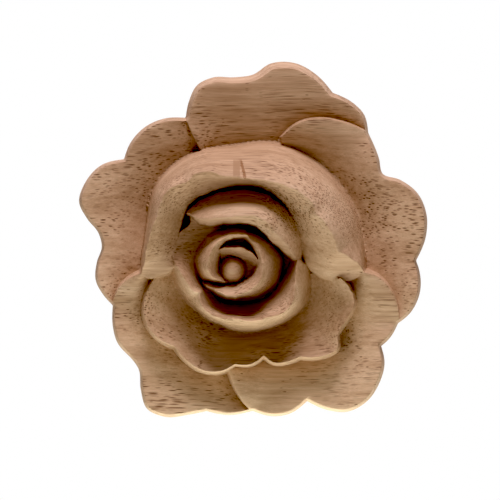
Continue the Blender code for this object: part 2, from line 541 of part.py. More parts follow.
def carve_mesh(name):
    """Lay triangles over the seeds, lift them to the carving and close the flat back."""
    bands = make_bands()
    outline = make_outline(CURVE_STEP)
    seeds = Seeds()
    seed_outline(seeds, outline)
    for band in bands:
        seed_band(seeds, band, bands, outline)
    seed_button(seeds)
    seed_fill(seeds, bands, outline)
    plane = delaunay_2d_cdt([Vector(point) for point in seeds.points], sorted(seeds.lines), [], 0, 1e-5)
    points = numpy.array([tuple(point) for point in plane[0]])
    triangles = numpy.array(plane[2])
    rim_count = len(thin_out(outline, EDGE_STEP))
    rim = points[:rim_count]
    triangles = triangles[inside(points[triangles].mean(axis=1), rim)]
    heights = rose_height(points, bands, outline)
    heights[:rim_count] = 0
    middle = (outline[:, :2].min(axis=0) + outline[:, :2].max(axis=0)) / 2
    vertices = [
        ((x - middle[0]) * MM, -height * MM, (z - middle[1]) * MM) for (x, z), height in zip(points, heights)
    ]
    faces = [tuple(int(index) for index in triangle) for triangle in triangles]
    faces.append(tuple(range(rim_count - 1, -1, -1)))
    mesh = bpy.data.meshes.new(name)
    mesh.from_pydata(vertices, [], faces)
    mesh.validate()
    return mesh


def make_wood():
    """Bare, sanded rubberwood."""
    wood = bpy.data.materials.new("rubberwood")
    wood.use_nodes = True
    shader = wood.node_tree.nodes["Principled BSDF"]
    shader.inputs["Base Color"].default_value = WOOD_COLOUR
    shader.inputs["Roughness"].default_value = WOOD_ROUGHNESS
    shader.inputs["Metallic"].default_value = 0
    return wood


def make_rose():
    """The whole flower, carved as one piece."""
    mesh = carve_mesh("carved_rose")
    mesh.materials.append(make_wood())
    mesh.shade_smooth()
    mesh.set_sharp_from_angle(angle=math.radians(SHARP_ANGLE))
    rose = bpy.data.objects.new("carved_rose", mesh)
    bpy.context.scene.collection.objects.link(rose)
    return rose


def main():
    for thing in list(bpy.data.objects):
        bpy.data.objects.remove(thing)
    make_rose()


if __name__ == "__main__":
    main()
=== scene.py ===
import bpy
import math
import numpy
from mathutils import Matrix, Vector, noise
from mathutils.geometry import delaunay_2d_cdt


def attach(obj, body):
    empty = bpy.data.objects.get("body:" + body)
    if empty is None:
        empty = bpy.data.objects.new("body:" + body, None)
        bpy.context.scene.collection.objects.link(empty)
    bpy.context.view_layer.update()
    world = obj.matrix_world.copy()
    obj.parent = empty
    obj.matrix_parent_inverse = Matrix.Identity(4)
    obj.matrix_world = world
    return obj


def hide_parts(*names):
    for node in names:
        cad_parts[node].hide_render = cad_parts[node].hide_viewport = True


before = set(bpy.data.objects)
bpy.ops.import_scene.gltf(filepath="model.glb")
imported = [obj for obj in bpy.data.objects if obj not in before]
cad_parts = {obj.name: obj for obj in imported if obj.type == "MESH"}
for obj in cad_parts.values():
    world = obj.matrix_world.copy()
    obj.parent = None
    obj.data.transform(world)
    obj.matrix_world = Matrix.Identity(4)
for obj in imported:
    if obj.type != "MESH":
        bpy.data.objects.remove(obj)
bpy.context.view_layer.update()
mm = 0.001
noise.seed_set(1)  # else noise_vector gives other torn lips at each run
bpy.ops.object.select_all(action="DESELECT")


# Camera: straight at the carving, from far enough that the petals hardly spread
camera = {
    "lens": 400, "sensor": 36,  # mm
    "pictureWidth": 142.5,  # mm of the real object across the picture
    "aimX": -0.9, "aimZ": -3.0,  # mm from the middle of the back
    "planeDepth": 10,  # mm in front of the back, where the picture is that wide
    "nearest": 0.05, "farthest": 20,  # metres, what is drawn
}


def makeCamera():
    away = (camera["pictureWidth"] * camera["lens"] / camera["sensor"] + camera["planeDepth"]) * mm
    bpy.ops.object.camera_add(location=(camera["aimX"] * mm, -away, camera["aimZ"] * mm),
                              rotation=(math.pi / 2, 0, 0))
    eye = bpy.context.object
    eye.name = "studioCamera"
    eye.data.lens = camera["lens"]
    eye.data.clip_start, eye.data.clip_end = camera["nearest"], camera["farthest"]
    bpy.context.scene.camera = eye


makeCamera()
print("camera ready")


# Every curve below runs anticlockwise about the bud. Its points are the angle in degrees, the distance
# from the bud's middle in mm and the height over the back in mm. Curves in a list meet in corners.
notchRight = (341, 49.7, 8)
notchTopRight = (45, 54.4, 8)
notchTopLeft = (108, 45.0, 8)
notchLeft = (197.5, 36.5, 8)
notchBottom = (277.3, 41.6, 8)
hoodLeftTip = (184, 26.4, 14.5)
hoodRightTip = (357.7, 36.9, 13.5)

# How a surface swells from its outer curve, u = 0, to its inner one, u = 1: (1 - (1 - c u)^a)^b,
# stretched to end at 1. Where c is below 1 the surface still rises at its inner edge.
dish, dive, bowl = (1, 1.6, 1), (1, 1.8, 1), (1.1, 1, 1)
lip, shoulder = (1, 1, 1), (1, 1.2, 1)
domed, rolled, arched, sloped = (2.5, 1, 0.7), (1.6, 1, 0.78), (2.4, 1, 0.72), (1.25, 1, 1)


rightPetal = {
    "outline": [
        [notchRight, (345.6, 52.3, 9), (352.8, 53.8, 10), (359, 53.1, 9.4), (2, 52.2, 8.6)],
        [(2, 52.2, 8.6), (8.8, 55.6, 10), (15.3, 57.2, 10.5), (21.9, 56.7, 10.5), (27.8, 53.7, 9.8),
         (32.2, 50.3, 9), (36.8, 51.9, 9.4), notchTopRight],
    ],
    "overTop": [notchTopRight, (53.3, 51.6, 9.6), (59.8, 48.9, 10.2), (65.9, 44.9, 9.4), (70, 39.5, 6.5)],
    "root": [(340, 46.5, 5), (348, 42, 3.6), (354, 36, 2.6), (8, 35.4, 1.8), (26, 36.8, 1.6),
             (45, 37.2, 1.6), (62, 36.4, 2), (69, 36.2, 3)],  # the foot of the petal, under what covers it
}
topPetal = {
    "outline": [
        [notchTopRight, (49.7, 57.5, 8), (54.5, 58.1, 8.4), (60.5, 57.4, 8.8)],
        [(60.5, 57.4, 8.8), (66.6, 59.9, 9.6), (73.6, 61.0, 10.2), (79.8, 59.3, 10), (84.5, 55.4, 9.6),
         (90, 54.4, 9.6), (96.3, 54.7, 9.8), (101.5, 53.2, 9.6), (105.3, 49.2, 9), notchTopLeft],
    ],
    "overLeft": [notchTopLeft, (107.4, 40.7, 7.4), (106, 35.4, 6)],
    "root": [(45.4, 52.8, 3), (56, 46.5, 2), (64, 40.5, 1.6), (72, 35.2, 1.4), (90, 32.6, 1.4),
             (105.6, 32.6, 1.6)],
}
leftPetal = {
    "outline": [
        [notchTopLeft, (115, 47.0, 8.6), (122, 47.6, 9), (130.2, 46.3, 8.6), (135.6, 44.2, 7.8)],
        [(135.6, 44.2, 7.8), (142.8, 48.1, 9), (150.1, 49.1, 9.6), (157.3, 48.2, 9.6), (161.8, 44.4, 9),
         (166, 40.1, 8.6), (171.3, 38.4, 8.2), (178, 39.4, 8.4), (185.2, 39.9, 8.8), (192.9, 38.1, 8.6),
         notchLeft],
    ],
    "root": [(107.2, 43.5, 4.4), (104.5, 39, 2.8), (108, 33, 1.8), (126, 31, 1.4), (143, 27.8, 1.4),
             (157, 24.4, 1.4), (172, 23, 2), (184, 25, 3.4), (191, 30.5, 4), (197, 35.2, 5)],
}
lowerLeftPetal = {
    "outline": [
        [notchLeft, (205.9, 38.7, 8.6), (213, 39.9, 8.8), (220.5, 39.5, 8.4)],
        [(220.5, 39.5, 8.4), (226.9, 40.1, 8.6), (232.7, 44.2, 9.2), (238.3, 47.7, 9.6), (245.5, 47.3, 9.4),
         (253, 44.3, 9), (259.2, 42.1, 8.4)],
        [(259.2, 42.1, 8.4), (268, 42.5, 8.6), notchBottom],
    ],
    "overLeft": [hoodLeftTip, (186.5, 30.3, 12), (190.3, 33.4, 10.5), notchLeft],
    "root": [(188, 23, 7), (200, 24, 3), (215, 25.6, 1.6), (235, 25.2, 1.2), (250, 26.4, 1),
             (263, 26.4, 1), (271, 32, 1.8), (276.5, 39.3, 3.8)],
}
lowerRightPetal = {
    "outline": [
        [notchBottom, (284, 44.1, 9.2), (291, 45.0, 9.4), (298.5, 43.8, 8.8)],
        [(298.5, 43.8, 8.8), (303.2, 49.1, 9.6), (308.2, 52.8, 10.2), (314.8, 54.2, 10.5),
         (321.5, 53.3, 10.2), (327.6, 51.1, 9.8), (331.7, 47.9, 9)],
        [(331.7, 47.9, 9), (335.5, 49.1, 9.2), notchRight],
    ],
    "overLeft": [(266.5, 28.5, 8.6), (269.8, 33.6, 9.4), (274.3, 38.9, 9.2), notchBottom],
    "overRight": [notchRight, (345.8, 48.2, 10), (351.9, 44.9, 11.5), (356.6, 40.2, 13), hoodRightTip],
    "root": [(268, 26, 1.6), (280, 24, 1), (292, 24, 0.8), (305, 27, 0.8), (322, 32, 1),
             (338, 31, 1.8), (350, 31, 4.6), (356.5, 34, 8)],
}
collar = {  # two joined petals under the cup
    "edge": [
        [(187, 22.5, 12.5), (196.8, 26.0, 13.6), (206, 28.5, 14.2), (217, 29.7, 14.4), (226, 29.2, 14.2),
         (233.1, 28.1, 13.8)],
        [(233.1, 28.1, 13.8), (243, 29.7, 14), (254.5, 30.6, 14), (263, 29.7, 13.8), (270.5, 27.6, 13.4)],
        [(270.5, 27.6, 13.4), (280, 28.0, 13.4), (288.6, 26.5, 12.6)],
        [(288.6, 26.5, 12.6), (293, 29.5, 13.4), (300, 30.9, 14), (306.5, 31.6, 14)],
        [(306.5, 31.6, 14), (313.5, 35.1, 14.4), (322, 37.3, 14.4), (327, 35.1, 14.2), (336, 35.3, 14.6),
         (343.5, 35.6, 15), (350, 33.2, 15), (354, 30.5, 14.6)],
    ],
    "root": [(184, 16.8, 7), (198, 15.4, 4), (218, 14.8, 2), (240, 14.4, 1.4), (265, 16, 1.4),
             (290, 17.4, 1.4), (312, 19.4, 1.4), (332, 21, 2), (346, 20.4, 3.6), (356, 19.6, 6.4)],
}
hood = {  # the great petal that folds over the bud
    "foot": [(357.7, 37.5, 6.5), (8, 38.1, 1.8), (22, 39, 0.8), (45, 39.3, 0.6), (66, 38.8, 0.8),
             (78, 37.4, 0.8), (90, 35.5, 0.6), (107, 35.4, 0.6), (120, 34.7, 0.4), (132.8, 33, 0.4),
             (143.4, 30.7, 0.4), (154, 28.1, 0.4), (163.8, 27, 0.8), (174, 26.8, 2), (184, 27.1, 6.5)],
    "lip": [
        [hoodRightTip, (1.1, 35.5, 16.5), (4.6, 33.0, 19.5), (8.8, 29.8, 22.5)],
        [(8.8, 29.8, 22.5), (18, 29.4, 25), (25, 28.7, 26), (33, 27.5, 26.5)],
        [(33, 27.5, 26.5), (38, 28.4, 26.8), (46, 28.4, 27.2), (58.5, 27.1, 27.6), (70, 26.0, 27.8),
         (85, 25.4, 28), (96.3, 26.0, 28), (104, 27.8, 27.6), (112, 28.4, 27.2), (120, 27.4, 26.8)],
        [(120, 27.4, 26.8), (126, 28.3, 26.6), (132, 28.6, 26.2), (138.5, 27.5, 25.8), (145, 26.3, 25),
         (156, 25.6, 23.2), (168, 25.2, 20.8), (177, 25.4, 17.8), hoodLeftTip],
    ],
    "inner": [
        [(356.8, 36.4, 12.6), (354, 33.8, 12), (352.1, 29.5, 11.6), (352.8, 26.0, 11.6), (356.5, 22.6, 12),
         (3, 20.5, 12.6), (12, 19.7, 13.4), (22, 20.1, 14.6), (38.8, 21.7, 16.4), (56.6, 23.4, 18),
         (76, 24.0, 19), (90, 23.3, 19), (105, 22.5, 18.4), (121.5, 22.0, 17.4), (134, 20.6, 16),
         (146, 18.6, 15.4),
         (160.6, 17.8, 15.2), (172, 17.2, 15.4), (180, 17.2, 15.8), (184.9, 18.7, 15.4)],
        [(184.9, 18.7, 15.4), (187, 22, 15), (187.6, 24.0, 14.6), (185.6, 25.8, 14)],
    ],
    "wall": 14,
}
cup = {  # the petal that holds the bud from below
    "foot": [(182, 18.2, 8), (195.6, 18.0, 4.8), (218, 17.2, 3), (234, 16.7, 2.4), (250, 16.9, 2.4),
             (269, 18.6, 2.4), (292, 20.1, 2.4), (315, 22.1, 2.4), (334, 23.5, 3), (347, 22.8, 4.6),
             (356, 21.6, 7.6), (2, 20.6, 12)],
    "rim": [
        [(175, 17.0, 17.4), (180, 15.9, 19.2), (187, 14.9, 20.4), (196, 14.2, 20.9), (204, 13.8, 21),
         (212, 13.0, 20.8), (217, 11.8, 20.4)],
        [(217, 11.8, 20.4), (223, 13.2, 21.2), (231.5, 14.2, 22), (242, 14.8, 22.6), (257.6, 14.6, 23),
         (274.5, 14.8, 23.4), (290, 16.2, 23.8), (301, 16.7, 23.8)],
        [(301, 16.7, 23.8), (314, 18.5, 23.8), (326, 19.4, 23.2), (338, 18.4, 22.2), (350, 17.7, 20.8),
         (0, 17.5, 19.6), (6.5, 18.2, 18.5)],
    ],
    "leftRim": [(108, 16, 14.8), (120, 18, 14.8), (128, 19.6, 14.8), (131, 18.8, 14.6), (134, 17.7, 14.5),
                (139, 17.5, 14.6), (146, 18.2, 15), (160, 18.4, 15.4), (170, 17.8, 16), (175, 17.0, 17.4)],
    "inside": [(106, 11, 12.6), (120, 11, 12.6), (134, 11, 12.6), (150, 11.2, 12.6), (165, 11, 12.6),
               (185, 10.8, 12.6), (205, 10.2, 12.4), (222, 9.8, 12), (235, 10.0, 12), (250, 10.2, 12),
               (270, 10.4, 12), (293, 11.4, 12), (312, 12.6, 12), (328, 13.6, 12), (344, 14.4, 12),
               (356, 15.6, 12.4), (5, 17.0, 14)],
}
brow = {  # the petal between the bud and the hood
    "foot": [(7, 19.2, 14.5), (14, 19.8, 14.6), (26, 20.9, 15.4), (42, 21.9, 16.4), (58, 22.4, 16.8),
             (74, 22.4, 16.8), (90, 21.9, 16.4), (106, 21.5, 16.2), (118, 21.2, 16.4), (124, 21, 17),
             (128.8, 20.7, 18)],
    "rim": [(7.4, 18.0, 18), (13, 16.9, 20.5), (24, 16.2, 22.6), (33, 15.5, 24), (41, 15.0, 25.2),
            (51, 15.6, 26.4), (62, 15.7, 27), (76, 15.1, 27.2), (90, 14.25, 27), (106, 14.6, 26.4),
            (117, 15.3, 25.4), (124.5, 16.6, 24), (128.6, 18.4, 22.2), (130.2, 20.2, 19.8)],
    "inner": [(6.5, 17.4, 17), (13, 15.6, 18.6), (22.4, 14.2, 20.4), (32.5, 13.3, 21.8), (43.5, 13.0, 22.6),
              (55, 13.2, 23), (68, 13.3, 23), (80, 12.9, 22.8), (92, 12.6, 22.6), (103, 12.7, 22.2),
              (114, 13.2, 21.6), (122, 14.2, 20.8), (127.4, 15.8, 19.8), (129, 18.2, 18.8),
              (130.4, 19.4, 18.4)],
    "wall": 14,
}
budRight = {
    "foot": [(208, 9.9, 17), (222, 9.4, 13), (240, 9.1, 12), (260, 8.9, 12), (286, 9.3, 12), (300, 10.2, 12),
             (315, 11.2, 12), (330, 12.2, 12), (346, 12.8, 13.4), (2, 13.2, 14.4), (19, 13, 15.4),
             (38, 12, 16.4), (54, 11.2, 18), (68, 10.4, 20)],
    "rim": [(213, 9.3, 20), (222.6, 8.6, 21.6), (240.6, 8.15, 22.8), (258, 8.1, 23.6), (272, 8.05, 24),
            (288, 7.8, 24.4), (305, 7.85, 24.8), (322, 8.0, 25), (340, 8.2, 25), (356, 8.1, 25),
            (12, 8.0, 25), (28, 8.4, 24.8), (42, 8.7, 24.4), (55, 9.0, 23.8), (67, 9.6, 22.6)],
    "inner": [(216, 8.2, 18.6), (236, 6.4, 18.4), (254, 5.2, 18.4), (276, 4.9, 18.6), (301, 5.0, 18.8),
              (325, 5.4, 19.4), (344, 6.0, 20.6), (359, 6.6, 22), (18, 7.1, 22.8), (34, 7.4, 23),
              (50, 8.0, 22.6), (66, 8.8, 21.6)],
}
budLeft = {
    "foot": [(60, 10.0, 21), (75, 10.5, 19.6), (90, 10.7, 18.4), (105, 10.5, 17.8), (122, 10.5, 17.4),
             (138, 10.6, 17), (150, 10.7, 17), (164, 10.7, 16.8), (177, 10.4, 16.4), (190, 9.9, 16),
             (202, 9.0, 16), (216, 7.4, 16.6), (239, 5.3, 18.6)],
    "rim": [(61, 9.7, 22.6), (75, 9.6, 24.2), (90, 9.2, 25), (105, 8.8, 25.6), (122, 8.3, 25.8),
            (140, 7.9, 26), (160, 7.7, 26), (178, 7.5, 25.6), (196, 6.9, 24.6), (214, 5.9, 22.8),
            (238, 5.0, 20.2)],
    "inner": [(62, 9.3, 22), (75, 9.0, 23), (90, 8.6, 23.2), (101, 8.3, 22.6), (112, 7.8, 21.8),
              (126, 6.6, 20.6), (144, 5.4, 19.8), (167, 4.8, 19.4), (186, 4.6, 19.2), (210, 4.4, 19),
              (237, 4.5, 18.8)],
}
budInner = {
    "foot": [(8, 7.6, 21), (22, 7.3, 19.6), (36, 7.1, 18.6), (50, 6.8, 18), (70, 6.5, 18), (90, 6.4, 18),
             (112, 6.6, 18.4), (130, 6.8, 19.6)],
    "rim": [(8, 7.2, 22.4), (22, 6.9, 23.2), (37, 6.4, 23.7), (50, 6.0, 23.9), (63, 5.8, 23.8),
            (89, 5.5, 23.3), (105, 5.7, 22.6), (117, 6.0, 21.9), (131, 6.3, 21)],
    "inner": [(6, 5.8, 19.6), (22, 4.6, 19.2), (40, 3.8, 19), (60, 3.3, 19), (90, 3.1, 19), (112, 3.7, 19),
              (132, 5.2, 19.4)],
}
button = {"at": (243, 0.8), "radius": 3.7, "foot": 17.6, "top": 22.6, "wall": 8}  # the wall as a slope
pit = {  # the ground inside the hood and the cup
    "outline": [(0, 19), (45, 20.5), (90, 23), (135, 19.5), (180, 16.5), (225, 13), (270, 13.5), (315, 16.5)],
    "floor": 8.5,
}
budFloor = {
    "outline": [(0, 8), (45, 8.6), (90, 9.4), (135, 8), (180, 7), (212, 6.4), (228, 4.6), (245, 6.5),
                (270, 7.6), (315, 7.6)],
    "floor": 16.5,
}

# What the carver's tools leave: steep cuts, eased edges, filled corners and a slight unevenness
carving = {
    "cutSlope": 7,  # mm down for each mm out
    "bevelTop": 4.6, "bevelSide": 9.5,  # slope of the outline's wall above and at the sides
    "bevelAngle": 82, "bevelSpread": 34,  # degrees, the middle of its gentle part and how far that spreads
    "bandReach": 3.5,  # mm past a band's own outline, where it still counts
    "easedDepth": 0.09, "easedWidth": 0.22,  # mm taken off along every edge
    "filletDeep": 0.9, "filletFine": 0.35,  # mm
    "frontRounding": 0.7,  # mm
    "tornReach": 0.32, "tornLength": 1.8, "tornAbove": 15,  # mm, ragged lips of the inner petals
    "tornFineShare": 0.5, "tornFineScale": 2.7,  # a finer raggedness on top of it
    "waveHeight": 0.09, "waveLength": 7, "waveSlice": 3,  # mm
    "ridgeHeight": 0.035, "ridgeLength": 2.2, "ridgeSlice": 9, "ridgeStretch": 6,  # mm, the last along X
    "evenRim": 0.3,  # mm inside the outline, where the unevenness sets in
}

# How close the mesh's points lie: in mm, and in shares where a note says so
net = {
    "curve": 0.5, "blur": 0.6,  # a curve's samples, and the share of that in which they run together
    "disc": 1,
    "edge": 0.42, "rimShare": 1.3,  # along an edge, and how many times that along the outline
    "merge": 0.13, "rowMerge": 0.16, "footMerge": 0.2,  # the least gap of points on edges, rows and feet
    "bevelRows": (1, 0.75, 0.5, 0.25, 0.9, 1.2, 1.45), "bevelClear": 0.85,  # shares of the bevel's width
    "insideRows": (0.14, 0.34, 0.62), "insideClear": 0.9,  # the last as a share of its row
    "wallRows": (0.25, 0.6), "beyondFoot": 0.35,  # shares of the wall's width, and mm past it
    "heart": 30, "beyond": 63,  # radius of the fine middle, and one past the whole rose
    "fillHeart": 0.46, "fillOuter": 0.62, "fillPitch": 0.93, "fillMerge": 0.72,  # the last two as shares
    "fillClear": 0.5,
    "tolerance": 1e-6,
    "smoothAngle": 50,  # degrees between two faces, up to which they shade as one
}

# Where a curve is an edge that can be seen, with a wall down to what lies beside it, in mm
edges = {
    "outlineClear": 1.2, "hidden": 0.6,
    "firstWidth": 0.2, "widest": 3, "rounds": 5,  # the wall's width is found in a few rounds
    "least": 0.35, "wide": 0.45,  # the least drop that counts, and the width that takes rows of its own
}


def onPlane(point):
    angle = math.radians(point[0])
    return [point[1] * math.cos(angle), point[1] * math.sin(angle)] + list(point[2:])


def smoothRun(points, step):
    knots = numpy.array([onPlane(point) for point in points], dtype=float)
    gaps = numpy.linalg.norm(numpy.diff(knots[:, :2], axis=0), axis=1)
    slopes = numpy.diff(knots, axis=0) / gaps[:, None]
    if len(knots) == 2:
        tangents = numpy.vstack([slopes, slopes])
    else:
        before, after = gaps[:-1, None], gaps[1:, None]
        middle = (slopes[:-1] * after + slopes[1:] * before) / (before + after)
        first, last = 1.5 * slopes[0] - 0.5 * middle[0], 1.5 * slopes[-1] - 0.5 * middle[-1]
        tangents = numpy.vstack([first, middle, last])
    samples = [knots[:1]]
    for start in range(len(knots) - 1):
        count = max(1, round(gaps[start] / step))
        t = (numpy.arange(count) + 1)[:, None] / count
        samples.append((2 * t**3 - 3 * t**2 + 1) * knots[start]
                       + (t**3 - 2 * t**2 + t) * gaps[start] * tangents[start]
                       + (3 * t**2 - 2 * t**3) * knots[start + 1]
                       + (t**3 - t**2) * gaps[start] * tangents[start + 1])
    return numpy.vstack(samples)


def joinRuns(runs, step):
    if not isinstance(runs[0], list):
        runs = [runs]
    curves = [smoothRun(run, step) for run in runs]
    return numpy.vstack([curves[0]] + [curve[1:] for curve in curves[1:]])


def inChunks(work, points, size=4000):  # keeps the point-by-sample tables small
    return numpy.concatenate([work(points[start:start + size]) for start in range(0, len(points), size)])


def reachAndHeight(points, curve):
    gaps = numpy.linalg.norm(numpy.diff(curve[:, :2], axis=0), axis=1)
    lengths = (numpy.append(gaps, gaps[-1]) + numpy.insert(gaps, 0, gaps[0])) / 2
    soft = net["blur"] * net["curve"]

    def work(some):
        squares = ((some[:, None, :] - curve[None, :, :2]) ** 2).sum(axis=2) + soft**2
        weights = lengths / squares**2
        total = weights.sum(axis=1)
        reach = numpy.sqrt(numpy.maximum((total * 2 / math.pi) ** (-2 / 3) - soft**2, 0))
        return numpy.column_stack([reach, (weights * curve[:, 2]).sum(axis=1) / total])

    return inChunks(work, points).T


def inside(points, ring):
    x0, z0 = ring[:, 0], ring[:, 1]
    x1, z1 = numpy.roll(x0, -1), numpy.roll(z0, -1)
    run = numpy.where(z1 == z0, 1, z1 - z0)

    def work(some):
        x, z = some[:, 0][:, None], some[:, 1][:, None]
        return (((z0 > z) != (z1 > z)) & (x < x0 + (z - z0) * (x1 - x0) / run)).sum(axis=1) % 2 == 1

    return inChunks(work, points)


def distanceTo(points, ring):
    start = ring[:, :2]
    along = numpy.roll(start, -1, axis=0) - start
    size = numpy.maximum((along**2).sum(axis=1), 1e-12)

    def work(some):
        offset = some[:, None, :] - start[None]
        t = numpy.clip((offset * along).sum(axis=2) / size, 0, 1)
        return numpy.sqrt(((offset - t[:, :, None] * along) ** 2).sum(axis=2).min(axis=1))

    return inChunks(work, points)


def torn(curve):  # the fibres break a little beside the line that was cut
    ragged = curve.copy()
    for sample in ragged[curve[:, 2] > carving["tornAbove"]]:
        at = Vector(sample) / carving["tornLength"]
        fine = noise.noise_vector(at * carving["tornFineScale"])
        shift = noise.noise_vector(at) + carving["tornFineShare"] * fine
        where = numpy.flatnonzero((curve == sample).all(axis=1))
        ragged[where, :2] = sample[:2] + carving["tornReach"] * numpy.array(shift[:2])
    return ragged


def makeBand(outer, inner, swell, wall=None):
    outer, inner = torn(joinRuns(outer, net["curve"])), torn(joinRuns(inner, net["curve"]))
    return {"outer": outer, "inner": inner, "ring": numpy.vstack([outer, inner[::-1]]), "swell": swell,
            "wall": wall or carving["cutSlope"]}


def bandHeight(band, points):
    height = numpy.full(len(points), -100.0)  # far below, where the band doesn't reach
    low = band["ring"][:, :2].min(axis=0) - carving["bandReach"]
    high = band["ring"][:, :2].max(axis=0) + carving["bandReach"]
    near = numpy.flatnonzero(((points > low) & (points < high)).all(axis=1))
    if len(near):
        close = points[near]
        outerReach, outerHeight = reachAndHeight(close, band["outer"])
        innerReach, innerHeight = reachAndHeight(close, band["inner"])
        u = outerReach / (outerReach + innerReach + 1e-9)
        a, b, c = band["swell"]
        share = ((1 - (1 - c * u) ** a) / (1 - (1 - c) ** a)) ** b
        surface = outerHeight + (innerHeight - outerHeight) * share
        away = distanceTo(close, band["ring"])
        within = inside(close, band["ring"])
        eased = carving["easedDepth"] * numpy.exp(-numpy.where(within, away, 0) / carving["easedWidth"])
        height[near] = surface - eased - band["wall"] * numpy.where(within, 0, away)
    return height


def discHeight(disc, points):
    ring = smoothRun(disc["outline"] + disc["outline"][:1], net["disc"])
    away = numpy.where(inside(points, ring), 0, distanceTo(points, ring))
    return disc["floor"] - carving["cutSlope"] * away


def buttonHeight(points):
    away = numpy.linalg.norm(points - numpy.array(onPlane(button["at"])), axis=1) / button["radius"]
    dome = button["foot"] + (button["top"] - button["foot"]) * numpy.maximum(1 - away**2, 0)
    return numpy.where(away < 1, dome, button["foot"] - button["wall"] * (away - 1) * button["radius"])


# Each layer is one petal: its surfaces, and how much the corner where it meets the others is filled
def makeLayers():
    deep, fine = carving["filletDeep"], carving["filletFine"]
    lowerRight = [lowerRightPetal["overLeft"]] + lowerRightPetal["outline"] + [lowerRightPetal["overRight"]]
    return [
        ([makeBand(rightPetal["outline"] + [rightPetal["overTop"]], rightPetal["root"], dish)], fine),
        ([makeBand(topPetal["outline"] + [topPetal["overLeft"]], topPetal["root"], dish)], fine),
        ([makeBand(leftPetal["outline"], leftPetal["root"], dish)], fine),
        ([makeBand([lowerLeftPetal["overLeft"]] + lowerLeftPetal["outline"],
                   lowerLeftPetal["root"], dive)], fine),
        ([makeBand(lowerRight, lowerRightPetal["root"], dive)], fine),
        ([makeBand(collar["edge"], collar["root"], bowl)], fine),
        ([makeBand(hood["foot"], hood["lip"], domed, hood["wall"]),
          makeBand(hood["lip"], hood["inner"], lip, hood["wall"])], deep),
        ([makeBand(cup["foot"], cup["rim"], rolled),
          makeBand([cup["leftRim"]] + cup["rim"], cup["inside"], lip)], deep),
        ([makeBand(brow["foot"], brow["rim"], arched, brow["wall"]),
          makeBand(brow["rim"], brow["inner"], lip, brow["wall"])], fine),
        ([makeBand(budRight["foot"], budRight["rim"], sloped),
          makeBand(budRight["rim"], budRight["inner"], shoulder)], fine),
        ([makeBand(budLeft["foot"], budLeft["rim"], sloped),
          makeBand(budLeft["rim"], budLeft["inner"], shoulder)], fine),
        ([makeBand(budInner["foot"], budInner["rim"], sloped),
          makeBand(budInner["rim"], budInner["inner"], sloped)], fine),
    ]


def smoothMax(a, b, width):
    return numpy.maximum(a, b) + numpy.maximum(width - numpy.abs(a - b), 0) ** 2 / (4 * width)


def layerHeights(points, layers):
    return [numpy.max([bandHeight(band, points) for band in bands], axis=0) for bands, _ in layers]


def floorHeight(points):
    floors = numpy.maximum(discHeight(pit, points), discHeight(budFloor, points))
    return smoothMax(floors, buttonHeight(points), carving["filletFine"])


def bevelSlope(points):
    angle = numpy.degrees(numpy.arctan2(points[:, 1], points[:, 0]))
    lean = numpy.exp(-(((angle - carving["bevelAngle"]) / carving["bevelSpread"]) ** 2))
    return carving["bevelSide"] + (carving["bevelTop"] - carving["bevelSide"]) * lean


def carvedHeight(points, layers, outline):
    height = floorHeight(points)
    for row, (_, fillet) in zip(layerHeights(points, layers), layers):
        height = smoothMax(height, row, fillet)
    wall = distanceTo(points, outline) * bevelSlope(points)
    return numpy.maximum(-smoothMax(-height, -wall, carving["frontRounding"]), 0)


def unevenness(points):  # long waves of the sanding and the short ridges that the grain leaves along X
    waves = []
    for x, z in points:
        wave = noise.noise(Vector((x, z, carving["waveSlice"])) / carving["waveLength"])
        flatter = Vector((x / carving["ridgeStretch"], z, carving["ridgeSlice"]))
        ridge = noise.noise(flatter / carving["ridgeLength"])
        waves.append(carving["waveHeight"] * wave + carving["ridgeHeight"] * ridge)
    return numpy.array(waves)


class Seeds:  # the points that the mesh is spun between, none nearer than net["merge"] to another
    def __init__(self):
        self.points, self.lines, self.cells = [], set(), {}

    def add(self, point, gap=None):
        gap = gap or net["merge"]
        cell = (math.floor(point[0]), math.floor(point[1]))
        for i in (-1, 0, 1):
            for j in (-1, 0, 1):
                for other in self.cells.get((cell[0] + i, cell[1] + j), ()):
                    if math.dist(self.points[other], point) < gap:
                        return other
        self.points.append((float(point[0]), float(point[1])))
        self.cells.setdefault(cell, []).append(len(self.points) - 1)
        return len(self.points) - 1

    def addRow(self, points):
        for point in points:
            self.add(point, net["rowMerge"])

    def addLine(self, points, keep):
        last = None
        for point, kept in zip(points, keep):
            here = self.add(point) if kept else None
            if last is not None and here is not None and last != here:
                self.lines.add((min(last, here), max(last, here)))
            last = here


def evenly(curve, step, closed=False):
    if closed:
        curve = numpy.vstack([curve, curve[:1]])
    lengths = numpy.append(0, numpy.cumsum(numpy.linalg.norm(numpy.diff(curve[:, :2], axis=0), axis=1)))
    count = max(2, round(lengths[-1] / step))
    at = numpy.linspace(0, lengths[-1], count + 1)
    even = numpy.column_stack([numpy.interp(at, lengths, curve[:, column]) for column in range(3)])
    return even[:-1] if closed else even


def outwards(curve, ring):
    along = numpy.gradient(curve[:, :2], axis=0)
    normals = numpy.column_stack([along[:, 1], -along[:, 0]])
    normals /= numpy.maximum(numpy.linalg.norm(normals, axis=1), 1e-9)[:, None]
    wrong = inside(curve[:, :2] + 0.1 * normals, ring)
    normals[wrong] *= -1
    return normals


